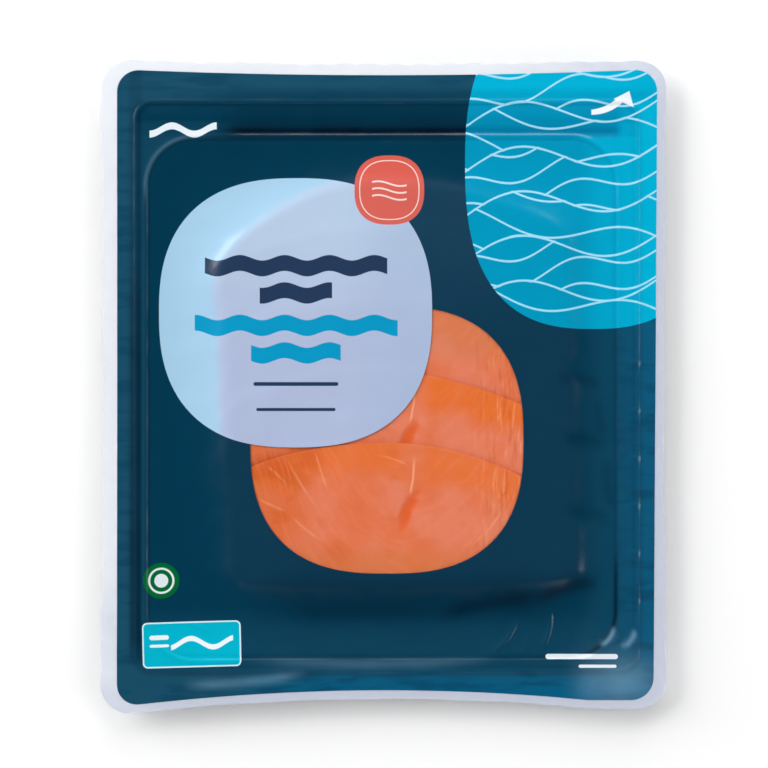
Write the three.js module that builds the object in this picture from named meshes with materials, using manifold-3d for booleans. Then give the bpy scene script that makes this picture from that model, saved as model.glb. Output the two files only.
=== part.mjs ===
// Sealed pack of sliced smoked salmon, lying on the floor of its formed pocket.
// Millimetres, +Z up. X runs across the printed face and Y up it.

import * as THREE from "three";
import { mergeVertices } from "three/addons/utils/BufferGeometryUtils.js";
import Module from "manifold-3d";

const { clamp, lerp, smoothstep } = THREE.MathUtils;

// Outline shared by both films
const packWidth = 165;
const packLength = 191.4;
const packCorner = 9;
const sideBow = 0.8;
const topBow = 1.4;
const bottomBow = 4.2;

// Films
const filmThickness = 0.5;
const gap = 0.3;
const sealWaveHeight = 0.45;
const sealWaveAcross = 34;
const sealWaveAlong = 43;
const sealWaveStartX = 0.6;
const sealWaveStartY = -0.4;

// Pocket formed in the bottom film
const pocketDepth = 5;
const pocket = { x: -0.4, y: -3.1, width: 136.8, length: 151.6, corner: 14 };
const pocketFloorInset = 3.4;
const pocketShoulderInset = 1;
const pocketShoulderDrop = 1.2;
const cornerShrink = 0.3;

// Ribs embossed in the seal, at shares of the way from the outer edge to the pocket
const ribShare = 0.72;
const ribHeight = 0.7;
const topRibShare = 0.38;
const topRibHeight = 0.5;
const topGrooveShare = 0.91;
const topGrooveDepth = 0.9;
const ribHalfShare = 0.08;
const topSealStart = 70;
const topSealFull = 78;

// Slices, laid like shingles from the top of the pack down
const sliceCount = 5;
const slicePitch = 20.6;
const firstSliceEdge = 66.9;
const sliceLength = 49.5;
const sliceShape = { x: 0, y: 0, width: 115, length: sliceLength, corner: 14 };
const sliceEdgeThickness = 0.65;
const sliceEdgeShare = 0.35;
const sliceTaper = 10;
const sliceMiddle = 4.6;
const sliceSideStep = 0.7;
const archMiddle = -2;
const upperArch = 0.0055;
const firstArch = 0.0125;
const lowerArch = -0.0019;
const sliceWobble = 0.5;
const wobbleTurn = 2.1;
const wobbleStep = 1.9;

// Pile that the slices make together
const pileThickness = 6.1;
const pileEdgeThickness = 2.4;
const pileShoulder = 7;

// Grid that all slices share, so that stacked faces keep their gap
const sliceCellX = 7.6;
const sliceCellY = 4.4;
const sliceReach = 8;
const sliceFade = 6;

// Mesh of the films: lines across, lines along, and the share that a corner takes
const filmColumns = 12;
const filmRows = 18;
const sliceRows = 8;
const cornerShareX = 0.13;
const cornerShareY = 0.11;
const cornerMidShare = 0.36;

// Where the top film lies over the slices
const drapeFoot = { x: 4.2, y: 1.2, width: 122, length: 138, corner: 24 };
const drapeShoulderInset = 4;
const drapeCrownInset = 10;
const drapeReach = 5;
const deepestSag = 1.6;
const drapeTurns = 8;
const pileMargin = 3;
const moatShares = [0.94, 0.7, 0.45, 0.2];
const moatSag = 1.8;
const narrowMoat = 2;
const wideMoat = 12;

const sealLevel = pocketDepth + filmThickness + gap;
const sliceNumbers = Array.from({ length: sliceCount }, (_, slice) => slice);

const wasm = await Module();
wasm.setup();

// Grid lines from -1 to 1, even between the corners, with one more line in each corner
function gridLines(cells, cornerShare) {
  const evenCells = cells - 4;
  const lines = [-1, -1 + cornerMidShare * cornerShare];
  for (let i = 0; i <= evenCells; i += 1) {
    lines.push(lerp(cornerShare - 1, 1 - cornerShare, i / evenCells));
  }
  lines.push(1 - cornerMidShare * cornerShare, 1);
  return lines;
}

// Point of a rounded rectangle's edge that belongs to a point of the edge of a square
function onRoundedRectangle(u, v, shape) {
  const x = (u * shape.width) / 2;
  const y = (v * shape.length) / 2;
  const coreX = shape.width / 2 - shape.corner;
  const coreY = shape.length / 2 - shape.corner;
  const nearX = clamp(x, -coreX, coreX);
  const nearY = clamp(y, -coreY, coreY);
  const scale = shape.corner / Math.hypot(x - nearX, y - nearY);
  return [shape.x + nearX + (x - nearX) * scale, shape.y + nearY + (y - nearY) * scale];
}

// Point inside a rounded rectangle that belongs to a point of the square
function inRoundedRectangle(u, v, shape) {
  const size = Math.max(Math.abs(u), Math.abs(v));
  if (size === 0) return [shape.x, shape.y];
  const [x, y] = onRoundedRectangle(u / size, v / size, shape);
  return [lerp(shape.x, x, size), lerp(shape.y, y, size)];
}

// Distance from the edge of a rounded rectangle, positive inside it
function insideRoundedRectangle(x, y, shape) {
  const fromSide = shape.width / 2 - Math.abs(x - shape.x);
  const fromEnd = shape.length / 2 - Math.abs(y - shape.y);
  if (Math.max(fromSide, fromEnd) > shape.corner) return Math.min(fromSide, fromEnd);
  return shape.corner - Math.hypot(shape.corner - fromSide, shape.corner - fromEnd);
}

function inset(shape, amount) {
  return {
    x: shape.x,
    y: shape.y,
    width: shape.width - 2 * amount,
    length: shape.length - 2 * amount,
    corner: shape.corner - cornerShrink * amount,
  };
}

// Outer edge of both films, with sides that curve in between the corners
function onPackEdge(u, v) {
  const shape = { x: 0, y: 0, width: packWidth, length: packLength, corner: packCorner };
  const [x, y] = onRoundedRectangle(u, v, shape);
  const alongX = 1 - ((2 * x) / packWidth) ** 2;
  const alongY = 1 - ((2 * y) / packLength) ** 2;
  const endBow = y > 0 ? topBow : bottomBow;
  return [x - Math.sign(x) * sideBow * alongY, y - Math.sign(y) * endBow * alongX];
}

function blend(from, to, share) {
  return [lerp(from[0], to[0], share), lerp(from[1], to[1], share)];
}

function ridge(share, middle) {
  return Math.max(0, 1 - Math.abs(share - middle) / ribHalfShare);
}

// Height of the seal above its flat level: a gentle wave and the embossed ribs
function sealRelief(x, y, share) {
  const across = Math.sin(x / sealWaveAcross + sealWaveStartX);
  const along = Math.cos(y / sealWaveAlong + sealWaveStartY);
  const topSeal = smoothstep(y, topSealStart, topSealFull);
  const rib = ribHeight * ridge(share, ribShare);
  const topRib = topRibHeight * ridge(share, topRibShare) * topSeal;
  const groove = topGrooveDepth * ridge(share, topGrooveShare) * topSeal;
  return sealWaveHeight * across * along + rib + topRib - groove;
}

// Middle of a slice: each one lies a little further to the right than the one before
function sliceCentre(slice) {
  return sliceMiddle + sliceSideStep * (slice - (sliceCount - 1) / 2);
}

// Lower and upper edge of a slice at one x: the upper one drops away from its middle
function sliceEdges(x, slice) {
  const top = firstSliceEdge - slice * slicePitch;
  const away = (x - archMiddle) ** 2;
  const arch = slice === 0 && x < archMiddle ? firstArch : upperArch;
  return [top - sliceLength - lowerArch * away, top - arch * away];
}

// Local place of a point on a slice: 0 in its middle, half sizes at its edges
function toSlice(x, y, slice) {
  const [lower, upper] = sliceEdges(x, slice);
  return [x - sliceCentre(slice), sliceLength * ((y - lower) / (upper - lower) - 0.5)];
}

function fromSlice(localX, localY, slice) {
  const x = localX + sliceCentre(slice);
  const [lower, upper] = sliceEdges(x, slice);
  return [x, lerp(lower, upper, localY / sliceLength + 0.5)];
}

// Distance from a slice's edge, positive on the slice
function insideSlice(x, y, slice) {
  return insideRoundedRectangle(...toSlice(x, y, slice), sliceShape);
}

// Share of the pile's thickness that a slice takes at one point, fading out beyond its edge
function sliceShare(x, y, slice) {
  const inside = insideSlice(x, y, slice);
  const edge = sliceEdgeShare * (1 - smoothstep(-inside, sliceReach, sliceReach + sliceFade));
  return edge + (1 - sliceEdgeShare) * smoothstep(inside, 0, sliceTaper);
}

// Thickness of the whole pile, rounded down at its sides
function pileThicknessAt(x, y) {
  let inside = 0;
  for (const slice of sliceNumbers) inside = Math.max(inside, insideSlice(x, y, slice));
  const share = clamp(inside / pileShoulder, 0, 1);
  return lerp(pileEdgeThickness, pileThickness, Math.sqrt(share * (2 - share)));
}

// Underside and top of one slice: each slice rests on those below it, and all share the pile
function sliceFaces(x, y, slice) {
  const shares = sliceNumbers.map((number) => sliceShare(x, y, number));
  const total = shares.reduce((sum, share) => sum + share, 0);
  const whole = pileThicknessAt(x, y) / Math.max(total, sliceEdgeShare);
  const floor = filmThickness + gap;
  let support = 0;
  let counted = 0;
  for (let below = 0; below < slice; below += 1) {
    const outside = -insideSlice(x, y, below);
    const cover = 1 - smoothstep(outside, sliceReach, sliceReach + sliceFade);
    counted += shares[below];
    const top = Math.max(support + sliceEdgeThickness, whole * counted);
    support = Math.max(support, cover * (top + gap));
  }
  const top = Math.max(support + sliceEdgeThickness, whole * (counted + shares[slice]));
  return [floor + support, floor + top];
}

// Upper face of the bottom film inside the pocket: seal edge, shoulder, wall and floor
function pocketSurface(x, y) {
  const inside = Math.max(0, insideRoundedRectangle(x, y, pocket));
  const shoulderHeight = pocketDepth - pocketShoulderDrop + sealRelief(x, y, 1);
  if (inside < pocketShoulderInset) {
    return filmThickness + shoulderHeight + pocketShoulderDrop * (1 - inside / pocketShoulderInset);
  }
  const wallRun = pocketFloorInset - pocketShoulderInset;
  const wallShare = clamp((inside - pocketShoulderInset) / wallRun, 0, 1);
  return filmThickness + lerp(shoulderHeight, 0, wallShare);
}

// Top of the pile of slices on and close round them, or the pocket beside it
function pileTop(x, y) {
  let height = pocketSurface(x, y);
  for (const slice of sliceNumbers) {
    if (insideSlice(x, y, slice) > -pileMargin) {
      height = Math.max(height, sliceFaces(x, y, slice)[1]);
    }
  }
  return height;
}

// Highest point of the pile within reach, where a stretched film rests; it never hangs deep
function drapeHeight(x, y) {
  let height = pileTop(x, y);
  for (let turn = 0; turn < drapeTurns; turn += 1) {
    const angle = (2 * Math.PI * turn) / drapeTurns;
    const beside = pileTop(x + drapeReach * Math.cos(angle), y + drapeReach * Math.sin(angle));
    height = Math.max(height, beside);
  }
  return Math.max(height + gap, sealLevel - deepestSag);
}

// Corner indices round the edge of a grid, counter-clockwise from its first corner
function gridEdge(columns, rows) {
  const edge = [];
  const index = (column, row) => row * (columns + 1) + column;
  for (let i = 0; i < columns; i += 1) edge.push(index(i, 0));
  for (let i = 0; i < rows; i += 1) edge.push(index(columns, i));
  for (let i = columns; i > 0; i -= 1) edge.push(index(i, rows));
  for (let i = rows; i > 0; i -= 1) edge.push(index(0, i));
  return edge;
}

// Flat layout of a sheet: a grid, then rings that widen from the grid's edge
function layOut(xLines, yLines, place, rings) {
  const columns = xLines.length - 1;
  const rows = yLines.length - 1;
  const spots = yLines.flatMap((v) => xLines.map((u) => ({ u, v, at: place(u, v), ring: -1 })));
  const triangles = [];
  const quad = (a, b, c, d) => triangles.push([a, b, c], [a, c, d]);
  for (let row = 0; row < rows; row += 1) {
    for (let column = 0; column < columns; column += 1) {
      const first = row * (columns + 1) + column;
      quad(first, first + 1, first + columns + 2, first + columns + 1);
    }
  }
  let edge = gridEdge(columns, rows);
  rings.forEach((onRing, ring) => {
    const next = edge.map((inner) => {
      const { u, v } = spots[inner];
      return spots.push({ u, v, at: onRing(u, v), ring }) - 1;
    });
    edge.forEach((inner, i) => {
      const after = (i + 1) % edge.length;
      quad(inner, next[i], next[after], edge[after]);
    });
    edge = next;
  });
  return { spots, triangles, edge };
}

// Closed solid between an underside and a top side over the same layout
function solidBetween(layout, under, over) {
  const count = layout.spots.length;
  const positions = [];
  for (const side of [under, over]) {
    for (const spot of layout.spots) positions.push(...spot.at, side(spot));
  }
  const faces = [];
  for (const [a, b, c] of layout.triangles) {
    faces.push(a + count, b + count, c + count, a, c, b);
  }
  layout.edge.forEach((from, i) => {
    const to = layout.edge[(i + 1) % layout.edge.length];
    faces.push(from, to, to + count, from, to + count, from + count);
  });
  const geometry = new THREE.BufferGeometry();
  geometry.setAttribute("position", new THREE.Float32BufferAttribute(positions, 3));
  geometry.setIndex(faces);
  return geometry;
}

function toManifold(geometry) {
  const bare = geometry.clone();
  bare.deleteAttribute("normal");
  bare.deleteAttribute("uv");
  const merged = mergeVertices(bare, 1e-4);
  return new wasm.Manifold(
    new wasm.Mesh({
      numProp: 3,
      vertProperties: merged.attributes.position.array,
      triVerts: new Uint32Array(merged.index.array),
    }),
  );
}

function fromManifold(solid) {
  const mesh = solid.getMesh();
  const geometry = new THREE.BufferGeometry();
  geometry.setAttribute("position", new THREE.BufferAttribute(mesh.vertProperties, 3));
  geometry.setIndex(new THREE.BufferAttribute(mesh.triVerts, 1));
  return geometry;
}

// Straight-sided block with the plan outline of one slice
function sliceCutter(slice) {
  const lines = gridLines(filmColumns, 2 * cornerShareX);
  const rows = gridLines(sliceRows, 2 * cornerShareX);
  const layout = layOut(lines, rows, (u, v) => [u, v], []);
  const points = layout.edge.map((index, i) => {
    const { u, v } = layout.spots[index];
    const [x, y] = onRoundedRectangle(u, v, sliceShape);
    const wobble = 1 + Math.sin(wobbleTurn * i + wobbleStep * slice);
    const shrink = 1 - (sliceWobble * wobble) / sliceLength;
    return new THREE.Vector2(...fromSlice(x * shrink, y * shrink, slice));
  });
  const depth = 3 * pileThickness;
  const block = new THREE.ExtrudeGeometry(new THREE.Shape(points), { depth, bevelEnabled: false });
  return block.translate(0, 0, -pileThickness);
}

// One slice: a layer of the pile, cut to the slice's outline
function sliceGeometry(slice) {
  const cutter = sliceCutter(slice);
  cutter.computeBoundingBox();
  const { min, max } = cutter.boundingBox;
  const lines = (low, high, cell) => {
    const found = [];
    for (let i = Math.floor(low / cell); i <= Math.ceil(high / cell); i += 1) found.push(i * cell);
    return found;
  };
  const xLines = lines(min.x, max.x, sliceCellX);
  const yLines = lines(min.y, max.y, sliceCellY);
  const layout = layOut(xLines, yLines, (x, y) => [x, y], []);
  const under = ({ at: [x, y] }) => sliceFaces(x, y, slice)[0];
  const over = ({ at: [x, y] }) => sliceFaces(x, y, slice)[1];
  const layer = toManifold(solidBetween(layout, under, over));
  return fromManifold(layer.intersect(toManifold(cutter)));
}

// Rings of the seal, as shares of the way from the outer edge to the pocket's edge
function sealShares() {
  return [
    1,
    topGrooveShare,
    ribShare + ribHalfShare,
    ribShare,
    ribShare - ribHalfShare,
    topRibShare + ribHalfShare,
    topRibShare,
    topRibShare - ribHalfShare,
    0,
  ];
}

function sealRing(share) {
  return (u, v) => blend(onPackEdge(u, v), onRoundedRectangle(u, v, pocket), share);
}

// Bottom film: flat floor, pocket wall with a rounded shoulder, ribbed seal
function bottomFilmGeometry() {
  const floor = inset(pocket, pocketFloorInset);
  const shoulder = inset(pocket, pocketShoulderInset);
  const shares = sealShares();
  const rings = [(u, v) => onRoundedRectangle(u, v, shoulder), ...shares.map(sealRing)];
  const xLines = gridLines(filmColumns, cornerShareX);
  const yLines = gridLines(filmRows, cornerShareY);
  const layout = layOut(xLines, yLines, (u, v) => inRoundedRectangle(u, v, floor), rings);
  const under = ({ at: [x, y], ring }) => {
    if (ring < 0) return 0;
    if (ring === 0) return pocketDepth - pocketShoulderDrop + sealRelief(x, y, 1);
    return pocketDepth + sealRelief(x, y, shares[ring - 1]);
  };
  return solidBetween(layout, under, (spot) => under(spot) + filmThickness);
}

// Top film: ribbed seal, sunken moat inside the pocket, drape over the slices
function topFilmGeometry() {
  const sealShareList = sealShares();
  const shoulder = inset(drapeFoot, drapeShoulderInset);
  const crown = inset(drapeFoot, drapeCrownInset);
  const onFoot = (u, v) => onRoundedRectangle(u, v, drapeFoot);
  const onPocket = (u, v) => onRoundedRectangle(u, v, pocket);
  const rings = [
    (u, v) => onRoundedRectangle(u, v, shoulder),
    ...moatShares.map((share) => (u, v) => blend(onPocket(u, v), onFoot(u, v), share)),
    ...sealShareList.map(sealRing),
  ];
  const xLines = gridLines(filmColumns, cornerShareX);
  const yLines = gridLines(filmRows, cornerShareY);
  const layout = layOut(xLines, yLines, (u, v) => inRoundedRectangle(u, v, crown), rings);
  const under = ({ u, v, at: [x, y], ring }) => {
    if (ring < 1) return drapeHeight(x, y);
    if (ring > moatShares.length) {
      return sealLevel + sealRelief(x, y, sealShareList[ring - 1 - moatShares.length]);
    }
    const share = moatShares[ring - 1];
    const [pocketX, pocketY] = onPocket(u, v);
    const [footX, footY] = onFoot(u, v);
    const width = Math.hypot(footX - pocketX, footY - pocketY);
    const sag = moatSag * Math.sin(Math.PI * share) * smoothstep(width, narrowMoat, wideMoat);
    const edgeHeight = sealLevel + sealRelief(pocketX, pocketY, 1);
    const footHeight = drapeHeight(footX, footY);
    const slope = lerp(edgeHeight, footHeight, smoothstep(share, 0, 1));
    return Math.max(slope - sag, drapeHeight(x, y));
  };
  return solidBetween(layout, under, (spot) => under(spot) + filmThickness);
}

function addPiece(group, name, geometry, color, roughness) {
  const material = new THREE.MeshStandardMaterial({ color, roughness, metalness: 0 });
  const mesh = new THREE.Mesh(geometry, material);
  mesh.name = name;
  group.add(mesh);
}

const pack = new THREE.Group();
addPiece(pack, "bottom_film", bottomFilmGeometry(), 0xdfe8ee, 0.3);
for (const slice of sliceNumbers) {
  addPiece(pack, "salmon_slice_" + (slice + 1), sliceGeometry(slice), 0xdf7755, 0.35);
}
addPiece(pack, "top_film", topFilmGeometry(), 0x08384f, 0.28);

// The origin is under the middle of the pack, on the surface that it lies on
const bounds = new THREE.Box3().setFromObject(pack);
const middle = bounds.getCenter(new THREE.Vector3());
pack.position.set(-middle.x, -middle.y, -bounds.min.z);

const model = new THREE.Group();
model.add(pack);

export default model;
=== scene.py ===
# Sealed pack of sliced smoked salmon, lying on a pale table and seen straight from above.
# Lengths are worked out in millimetres and become metres when a mesh is made.

import math

import bpy
import numpy as np
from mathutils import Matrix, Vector, kdtree
from mathutils.geometry import delaunay_2d_cdt


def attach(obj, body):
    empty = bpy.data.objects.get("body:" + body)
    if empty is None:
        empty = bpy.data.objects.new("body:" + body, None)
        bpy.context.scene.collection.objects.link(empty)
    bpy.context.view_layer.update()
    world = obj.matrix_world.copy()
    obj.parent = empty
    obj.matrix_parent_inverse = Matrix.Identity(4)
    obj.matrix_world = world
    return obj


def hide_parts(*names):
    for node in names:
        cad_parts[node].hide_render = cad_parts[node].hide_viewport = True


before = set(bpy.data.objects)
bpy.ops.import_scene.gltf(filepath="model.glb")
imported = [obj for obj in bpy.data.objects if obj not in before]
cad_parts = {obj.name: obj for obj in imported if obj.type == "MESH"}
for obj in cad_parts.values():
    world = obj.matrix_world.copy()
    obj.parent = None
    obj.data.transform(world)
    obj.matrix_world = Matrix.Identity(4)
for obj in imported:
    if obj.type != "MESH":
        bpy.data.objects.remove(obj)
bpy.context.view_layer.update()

MM = 0.001
slice_names = sorted(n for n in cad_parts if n.startswith("salmon_slice_"))

# Outline of both films, bowed inwards between the corners
pack_half = (82.4, 95.55)
pack_corner = 9.0
side_bow = 0.8
top_bow = 1.4
bottom_bow = 5.0
middle_y = -0.34
ragged = 0.35

# The lower right end stays flat: this share of the bow there, reached this far below the middle
flat_share = 0.43
flat_reach = 20.0

# Levels of the films
film = 0.15
seal_level = 5.62
film_clearance = 0.07
film_pull = 0.0013

# Pocket formed in the bottom film
pocket = {"x": -0.4, "y": -3.1 + middle_y, "width": 136.8, "length": 151.6, "corner": 14.0}
pocket_wall = 4.4
pocket_low_y = pocket["y"] - pocket["length"] / 2

# Slices, laid like shingles from the top of the pack down
slice_pitch = 20.6
first_edge = 66.9 + middle_y
slice_length = 49.5
slice_shape = {"x": 0.0, "y": 0.0, "width": 115.0, "length": slice_length, "corner": 14.0}
slice_taper = 9.0
slice_edge_share = 0.05
slice_step = 0.15
slice_step_run = 6.0
slice_middle = 4.6
slice_side_step = 0.7
arch_middle = -2.0
upper_arch = 0.0055
first_arch = 0.0125
lower_arch = -0.0019
slice_wobble = 0.5
pile_floor = film + 0.05
pile_height = 6.5
pile_shoulder = 9.0

# Printed fields, as middle, half sizes and exponent of a superellipse
label = (-25.6, 21.5, 39.7, 39.1, 2.5)
window = (1.0, -15.4, 39.6, 38.8, 2.6)
badge = (1.7, 57.1, 10.1, 10.1, 2.5)
sea = (60.6, 64.4, 36.9, 47.6, 2.6)
print_low = (-77.4, -93.2)
print_high = (79.0, 92.3)
print_corner = 6.6
print_top_bow = 1.8
print_bottom_bow = 5.0
print_slant = 0.55

# Ribs embossed in the seal
rib = {"x": 0.9, "y": 0.2, "width": 145.7, "length": 165.3, "corner": 5.0}
rib_height = 0.28
rib_width = 0.45
pocket_bead = 0.16
pocket_bead_width = 0.45
groove_y = 74.3
groove_depth = 0.42
groove_width = 1.3
groove_start = -52.0
groove_end = 70.0
band_lines = ((78.6, 0.16, 0.7), (81.9, -0.2, 0.5), (86.6, 0.14, 0.8))
tick_x = 73.0
tick_pitch = 13.8
tick_top = 6.9
tick_count = 6
tick_height = 0.26

# How pale the seal looks on each side of the pocket, and the moat at its right and lower sides:
# partly the print over the sealed films, partly painted sheen
pallor_and_sheen_top = 0.3
pallor_and_sheen_bottom = 0.55
pallor_and_sheen_left = 0.42
pallor_and_sheen_right = 0.75
moat_pallor_and_sheen_right = 0.4
moat_pallor_and_sheen_bottom = 0.35
pocket_high_y = 72.6

# Bands of painted shade on the upper seal and a strip of it at the left, from and to, with the run
# over which each fades
upper_band = (76.4, 77.4, 82.0, 83.4)
upper_shade = (75.4, 76.6, 80.6, 82.4)
left_strip = (-74.6, -73.2, -70.8, -69.8)

# How dark the painted shade on the print is beside ribs, in the strip and under the window
shade_tone = 0.3
rib_tones = ((0.8, 0.22, 0.4), (-0.9, 0.2, 0.5))
strip_tones = (0.2, 0.25)
pocket_edge_tones = (0.25, 0.6)
window_shade = (0.3, -61, 5)

# Painted highlight, a pale cloud at the lower right corner, as tone, then place and width in x and
# in y
corner_highlight = (0.45, 68, 8, -86, 5)
# Painted highlight along the pocket edge at its upper left corner
upper_left_highlight = 0.22

# Creases where the film is pulled over the lower corners, as end points and height
creases = (
    ((31.8, -77.3), (39.1, -67.0), 0.34),
    ((39.6, -77.8), (41.7, -72.6), 0.24),
    ((46.0, -76.4), (48.4, -64.2), 0.36),
    ((54.0, -75.0), (52.0, -66.0), 0.16),
    ((-58.0, -66.0), (-50.0, -71.0), 0.14),
)
crease_width = 0.5
crease_bend = 1.1

# Painted shade of soft folds in the film beside the pile and at its right end, as end points, depth
# of tone and width
fold_shades = (
    ((63.5, -56.5), (44.0, -61.5), 0.6, 1.6),
    ((48.0, -60.5), (14.0, -67.2), 0.45, 1.9),
    ((18.0, -66.6), (-30.0, -67.0), 0.25, 2.2),
    ((64.0, -0.2), (50.0, 3.0), 0.28, 1.3),
    ((65.5, -17.5), (52.0, -15.0), 0.28, 1.3),
    ((66.5, -39.0), (53.0, -36.0), 0.26, 1.3),
    ((62.5, -3.0), (64.5, -15.0), 0.25, 1.0),
    ((65.0, -20.0), (66.5, -36.0), 0.25, 1.0),
)

# Painted highlights where the film bends sharply, in the same form
highlight_marks = (
    ((62.8, -75.4), (67.2, -69.6), 0.5, 0.55),
    ((69.0, -76.0), (73.2, -70.4), 0.5, 0.6),
    ((-38.0, -79.8), (31.0, -79.6), 0.17, 0.9),
    ((-58.0, -86.6), (-22.0, -83.0), 0.28, 0.9),
)

# White fat lines in the flesh, as end points and bend
fat_lines = (
    ((-29.0, -19.5), (-19.4, -35.0), 0.3),
    ((-34.0, -22.8), (-28.2, -28.2), -0.2),
    ((-19.8, -18.6), (-16.2, -30.0), 0.2),
    ((-36.4, -32.4), (-28.6, -36.0), 0.2),
    ((-26.4, -37.8), (-18.6, -44.2), 0.3),
    ((-1.4, -19.8), (7.2, -22.8), -0.3),
    ((35.4, -23.6), (34.9, -34.0), 0.2),
    ((33.8, -4.4), (34.5, -13.2), 0.2),
    ((38.3, -3.6), (37.5, -14.0), 0.2),
    ((35.6, -33.6), (25.4, -46.2), -0.9),
)

# Wave strokes of the print, as middle, length, height and swing
stroke_wave = 13.0
navy_strokes = (
    ((-25.4, 35.1), 53.0, 4.6, 0.8),
    ((-25.4, 27.2), 21.0, 4.6, 0.8),
)
blue_strokes = (
    ((-25.4, 17.8), 59.0, 4.6, 0.8),
    ((-25.4, 9.8), 26.0, 4.6, 0.8),
)
badge_strokes = (
    ((1.7, 58.9), 10.0, 0.5, 0.7),
    ((1.7, 56.9), 10.0, 0.5, 0.7),
    ((1.7, 54.9), 10.0, 0.5, 0.7),
)
pale_stroke = ((-58.2, 74.6), 19.5, 2.0, 1.2)

# Bars of the print, as middle, length and height
label_bars = (((-25.4, 0.8), 24.6, 1.1), ((-25.4, -6.6), 23.0, 0.9))
pale_bars = (((57.6, -78.4), 21.0, 1.5), ((62.2, -81.2), 11.0, 0.9))

# Ring on the badge
badge_ring_inset = 1.5
badge_ring_half = 0.14

# Green disc with its ring and dot
disc_place = (-64.6, -56.4)
disc_radius = 5.2
disc_ring_inset = 1.7
disc_ring_half = 0.3
dot_radius = 2.0

# Teal panel, a little turned, with marks placed from its middle
panel_place = (-55.7, -74.85)
panel_turn = 0.026
panel_half = (14.3, 6.6)
panel_corner = 1.5
panel_border = 0.4
panel_stroke = ((3.0, 0.4), 18.0, 1.5, 1.3)
panel_bars = (((-9.4, 2.2), 5.6, 1.3), ((-9.4, -0.2), 5.6, 0.8))

# Curved arrow, as two circles that bound its sweep and the corners of its head
sweep_outer = ((60.4, 92.2), 13.2)
sweep_inner = ((58.9, 94.0), 13.6)
sweep_start = 60.4
sweep_end = 70.0
sweep_top = 84.6
head_tip = (71.4, 85.9)
head_base = (66.9, 83.6)
head_left = (-0.455, 0.89)
head_right = (0.965, 0.262)
head_back = (-0.38, -0.925)

# Swell and the two families of wave lines on the bright blue field
sea_swell = {"wavelength": 58.0, "phase": 0.6, "height": 5.0, "tilt": -0.16, "pitch": 13.0}
swell_shore = 6.5
swell_gap = 0.1
long_waves = (10.6, 3.2, 51.0, 2.2, 0.14)
short_waves = (7.6, 2.4, 33.0, 0.4, -0.22)
sea_line_half = 0.3

# Colours of the print, from 0 to 255
ink = {
    "pocket": (2, 54, 77),
    "low pile": (13, 54, 77),
    "high pile": (24, 61, 85),
    # Seal colours, paler partly by painted sheen
    "seal": (24, 74, 98),
    "blue seal": (8, 88, 124),
    "patch": (8, 58, 84),
    # Painted shade of the groove, ribs and folds
    "deep": (0, 18, 36),
    # Painted highlight of sharp bends and the lower right corner
    "painted_highlights": (120, 164, 192),
    "sea": (2, 146, 184),
    # Bright blue field on the seal, paler partly by painted sheen, and in painted shade
    "sea on seal": (1, 170, 206),
    "deep sea": (0, 82, 128),
    "sea line": (158, 218, 242),
    "arrow": (232, 238, 246),
    "label": (160, 198, 224),
    "low label": (170, 182, 211),
    "high label": (178, 198, 222),
    "right label": (158, 178, 208),
    "navy": (36, 56, 86),
    "bright blue": (10, 146, 190),
    "coral": (210, 92, 80),
    "coral on pile": (209, 97, 87),
    "badge line": (242, 214, 206),
    "green": (2, 98, 48),
    "disc line": (216, 228, 232),
    "teal": (3, 172, 197),
    "teal border": (214, 232, 240),
    "teal mark": (226, 238, 244),
    "pale mark": (222, 232, 238),
}

# Colours of the flesh, in the same form
fish = {
    "orange": (220, 110, 66),
    "pink": (222, 121, 88),
    "upper band": (224, 106, 28),
    "left patch": (204, 90, 14),
    "spot": (206, 84, 8),
    "far end": (203, 122, 88),
    "near end": (209, 111, 59),
    "grain": (236, 150, 116),
    "seam": (250, 184, 140),
    "slit": (218, 84, 2),
    # Painted highlight along the upper edge of each slice
    "rim": (240, 146, 84),
    "fat": (246, 180, 138),
    "pale streak": (240, 168, 128),
    "dark streak": (192, 84, 32),
}

# Clear films, as shaded and lit colour, opacity and roughness
clear_films = {
    "clear_window": ((236, 238, 240), (246, 248, 250), 0.01, 0.07),
    "clear_margin": ((212, 218, 234), (240, 243, 250), 0.5, 0.2),
    "milky_film": ((222, 227, 238), (246, 248, 251), 0.3, 0.22),
}

# Millimetres to one unit of the slices' own coordinates
slice_unit = 100

# Seam down the middle of the slices, as place, swing, wavelength and phase, and how it ends
seam_line = (7.8, 1.1, 40.0, 1.0)
seam_half = 0.15
seam_run = (3.0, 7.0, 13.0, 16.0)

# Slit at the end of the seam: how far down a slice, its slant, and how narrow and short it is
slit_place = 19.5
slit_slant = 0.28
slit_narrow = 0.9
slit_short = 0.32

# Orange spots in the flesh, as middle and radius
flesh_spots = (((-31.1, -24.4), 1.5), ((-21.0, -20.6), 0.5), ((-14.0, -50.0), 1.5))

# Orange band below the upper edge of a slice, as its depth and the runs over which it fades
band_depth = 9.5
band_fade = (4.5, 3.5)

# Studio lights, as place in metres, size and power
lights = {
    "left": ((-1.3, 0.7, 0.75), 1.3, 32.5),
    "right": ((1.4, -0.2, 0.85), 1.2, 13.0),
    "far": ((0.2, 1.5, 0.85), 1.3, 18.5),
    "near": ((0.0, -1.6, 0.7), 1.4, 13.5),
}

# Surroundings: strength near the horizon and overhead, and the heights between which it fades
ring_strength = 0.8
ceiling_strength = 0.002
ring_top = 0.05
ceiling_start = 0.4

# Floor: width in metres, how far it lies under the pack in millimetres, and its brightness
floor_width = 12
floor_gap = 0.05
floor_shade = 0.95

# Camera over the pack, in metres, at the distance that gives the photograph's frame
camera_lens = 100
camera_sensor = 36
camera_place = (0.00015, 0.0008, 0.6255)

# Stretching of the film: turns of the relaxation, and the gap over which it leaves the pile
film_turns = 500
contact_gap = (0.05, 0.5)
contact_reach = 7

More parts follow.
